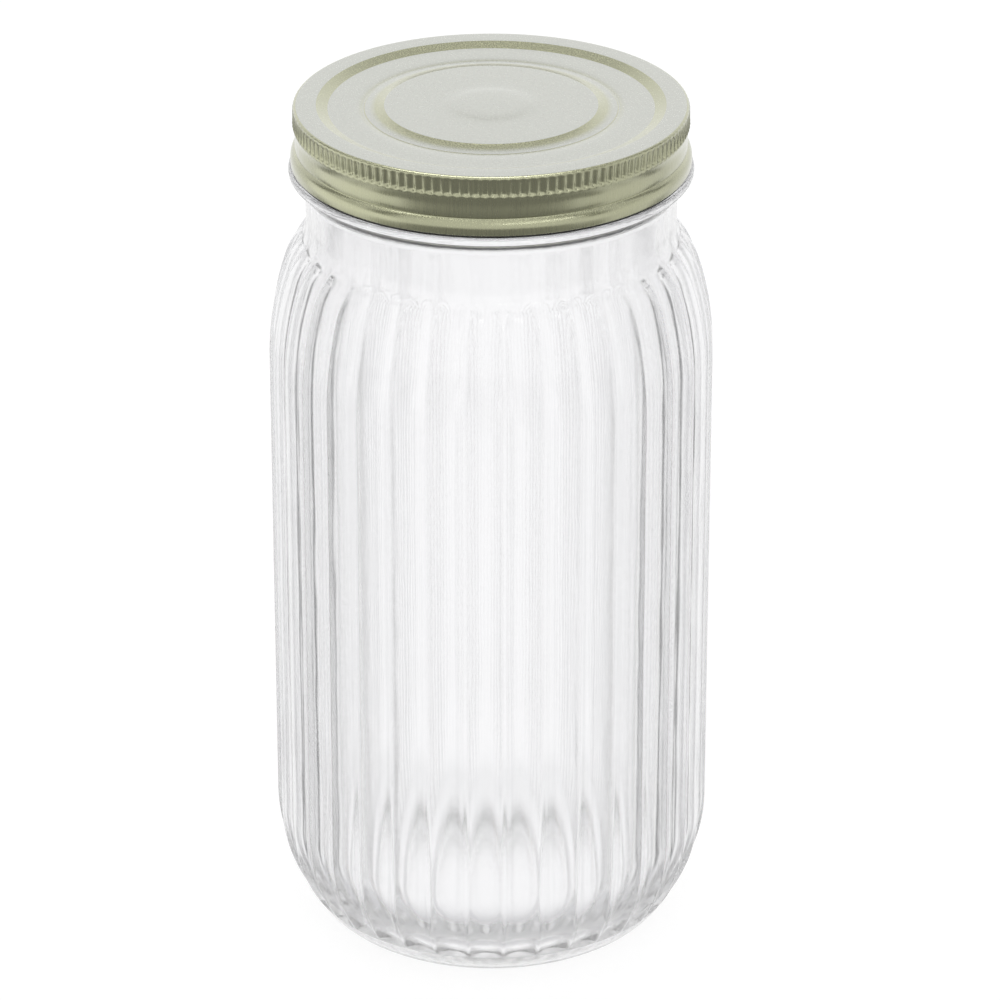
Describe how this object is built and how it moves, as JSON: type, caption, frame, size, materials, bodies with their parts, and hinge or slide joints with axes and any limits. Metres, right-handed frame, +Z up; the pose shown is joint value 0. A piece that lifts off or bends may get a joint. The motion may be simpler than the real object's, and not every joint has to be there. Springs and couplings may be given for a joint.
{
  "type": "preserving jar",
  "caption": "Tall clear glass preserving jar with hollow flutes all round, a smooth neck with a collar, and a pale gold metal screw lid with a stepped top and knurled grip.",
  "frame": {"origin": "middle of the foot ring, on the plane the jar stands on", "axes": "+Z up along the jar's axis to the lid; a flute faces +X and another faces -Y, the front"},
  "size_m": [0.1146, 0.1146, 0.2301],
  "materials": {
    "clear_glass": "clear pressed glass, polished inside and out",
    "lid_lacquer": "pale gold satin lacquer on tinplate"
  },
  "bodies": {
    "root": {"glass_jar": "clear_glass", "metal_lid": "lid_lacquer"}
  },
  "joints": []
}
